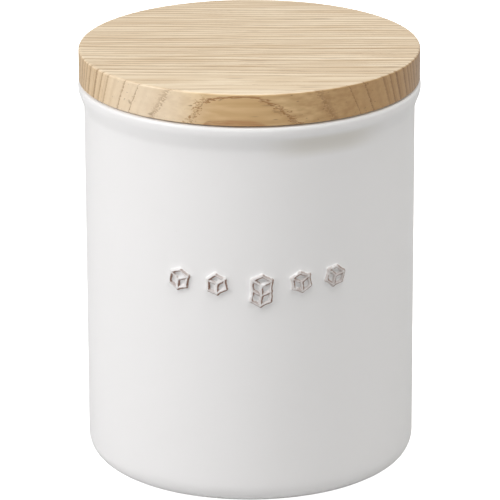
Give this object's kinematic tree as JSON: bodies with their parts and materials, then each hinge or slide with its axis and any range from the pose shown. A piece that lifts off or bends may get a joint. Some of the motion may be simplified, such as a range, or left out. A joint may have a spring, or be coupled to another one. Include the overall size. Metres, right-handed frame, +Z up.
{
  "type": "sugar bowl",
  "caption": "Straight-sided glazed stoneware canister for sugar, with raised sugar lumps on the front and a flat round wooden lid that lifts off and turns on a soft sealing ring.",
  "frame": {"origin": "centre of the circle that the jar stands on, at the standing surface", "axes": "+Z up along the axis of the jar and lid; the raised sugar lumps on the front face -Y"},
  "size_m": [0.0984, 0.0985, 0.123],
  "materials": {
    "white_glaze": "satin to glossy white glaze, brown where it breaks thin over raised edges",
    "ash_wood": "pale oiled ash, straight grain",
    "silicone": "translucent white silicone"
  },
  "bodies": {
    "jar": {"jar": "white_glaze"},
    "seal": {"seal_ring": "silicone"},
    "lid": {"lid_board": "ash_wood", "lid_plug": "ash_wood"}
  },
  "joints": [
    {"name": "lid_lift", "type": "slide", "parent": "jar", "child": "seal", "axis": [0, 0, 1], "range_m": [0, 0.06]},
    {"name": "lid_turn", "type": "hinge", "parent": "seal", "child": "lid", "pos_m": [0, 0, 0.1137], "axis": [0, 0, 1], "continuous": true}
  ]
}
